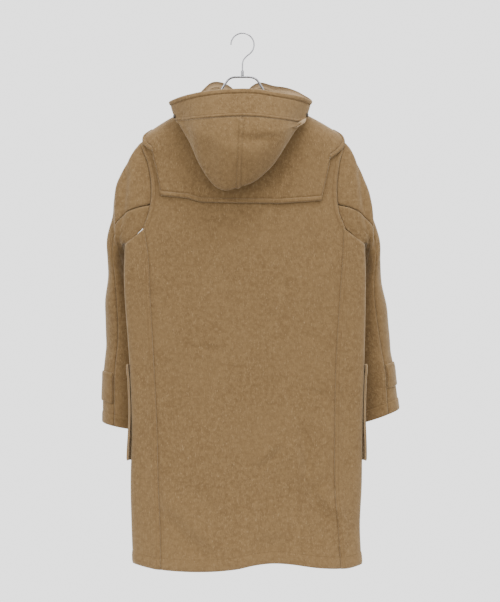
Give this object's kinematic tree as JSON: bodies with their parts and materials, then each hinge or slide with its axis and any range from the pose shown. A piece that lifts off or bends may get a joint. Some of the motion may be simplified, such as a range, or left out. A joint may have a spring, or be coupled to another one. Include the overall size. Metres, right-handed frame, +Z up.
{
  "type": "duffle coat on a hanger",
  "caption": "Hooded thigh-length wool coat with a shoulder yoke, patch pockets and toggle closure, hung on a slim metal hanger.",
  "frame": {"origin": "inner top of the hanger's hook, where a rail bears", "axes": "+Z up, +X towards the wearer's left, the coat's front faces -Y"},
  "size_m": [0.6828, 0.2706, 1.2046],
  "materials": {
    "wool": "felted, soft nap",
    "leather": "smooth matte",
    "cord": "twisted cord",
    "toggle_wood": "oiled",
    "snap_metal": "dark, satin",
    "hanger_steel": "polished wire"
  },
  "bodies": {
    "root": {"back_panel": "wool", "front_left": "wool", "front_right": "wool", "yoke": "wool", "hood_left": "wool", "hood_right": "wool", "hood_brim": "wool", "sleeve_left_top": "wool", "sleeve_left_under": "wool", "sleeve_right_top": "wool", "sleeve_right_under": "wool", "cuff_tab_left": "wool", "cuff_tab_right": "wool", "pocket_left": "wool", "pocket_right": "wool", "hood_tape": "wool", "hood_snap_left": "snap_metal", "hood_snap_right": "snap_metal", "loop_patch_1": "leather", "toggle_patch_1": "leather", "loop_cord_1": "cord", "toggle_cord_1": "cord", "toggle_1": "toggle_wood", "loop_patch_2": "leather", "toggle_patch_2": "leather", "loop_cord_2": "cord", "toggle_cord_2": "cord", "toggle_2": "toggle_wood", "loop_patch_3": "leather", "toggle_patch_3": "leather", "loop_cord_3": "cord", "toggle_cord_3": "cord", "toggle_3": "toggle_wood", "loop_patch_4": "leather", "toggle_patch_4": "leather", "loop_cord_4": "cord", "toggle_cord_4": "cord", "toggle_4": "toggle_wood", "hanger_hook": "hanger_steel", "hanger_ferrule": "hanger_steel", "hanger_frame": "hanger_steel"}
  },
  "joints": []
}
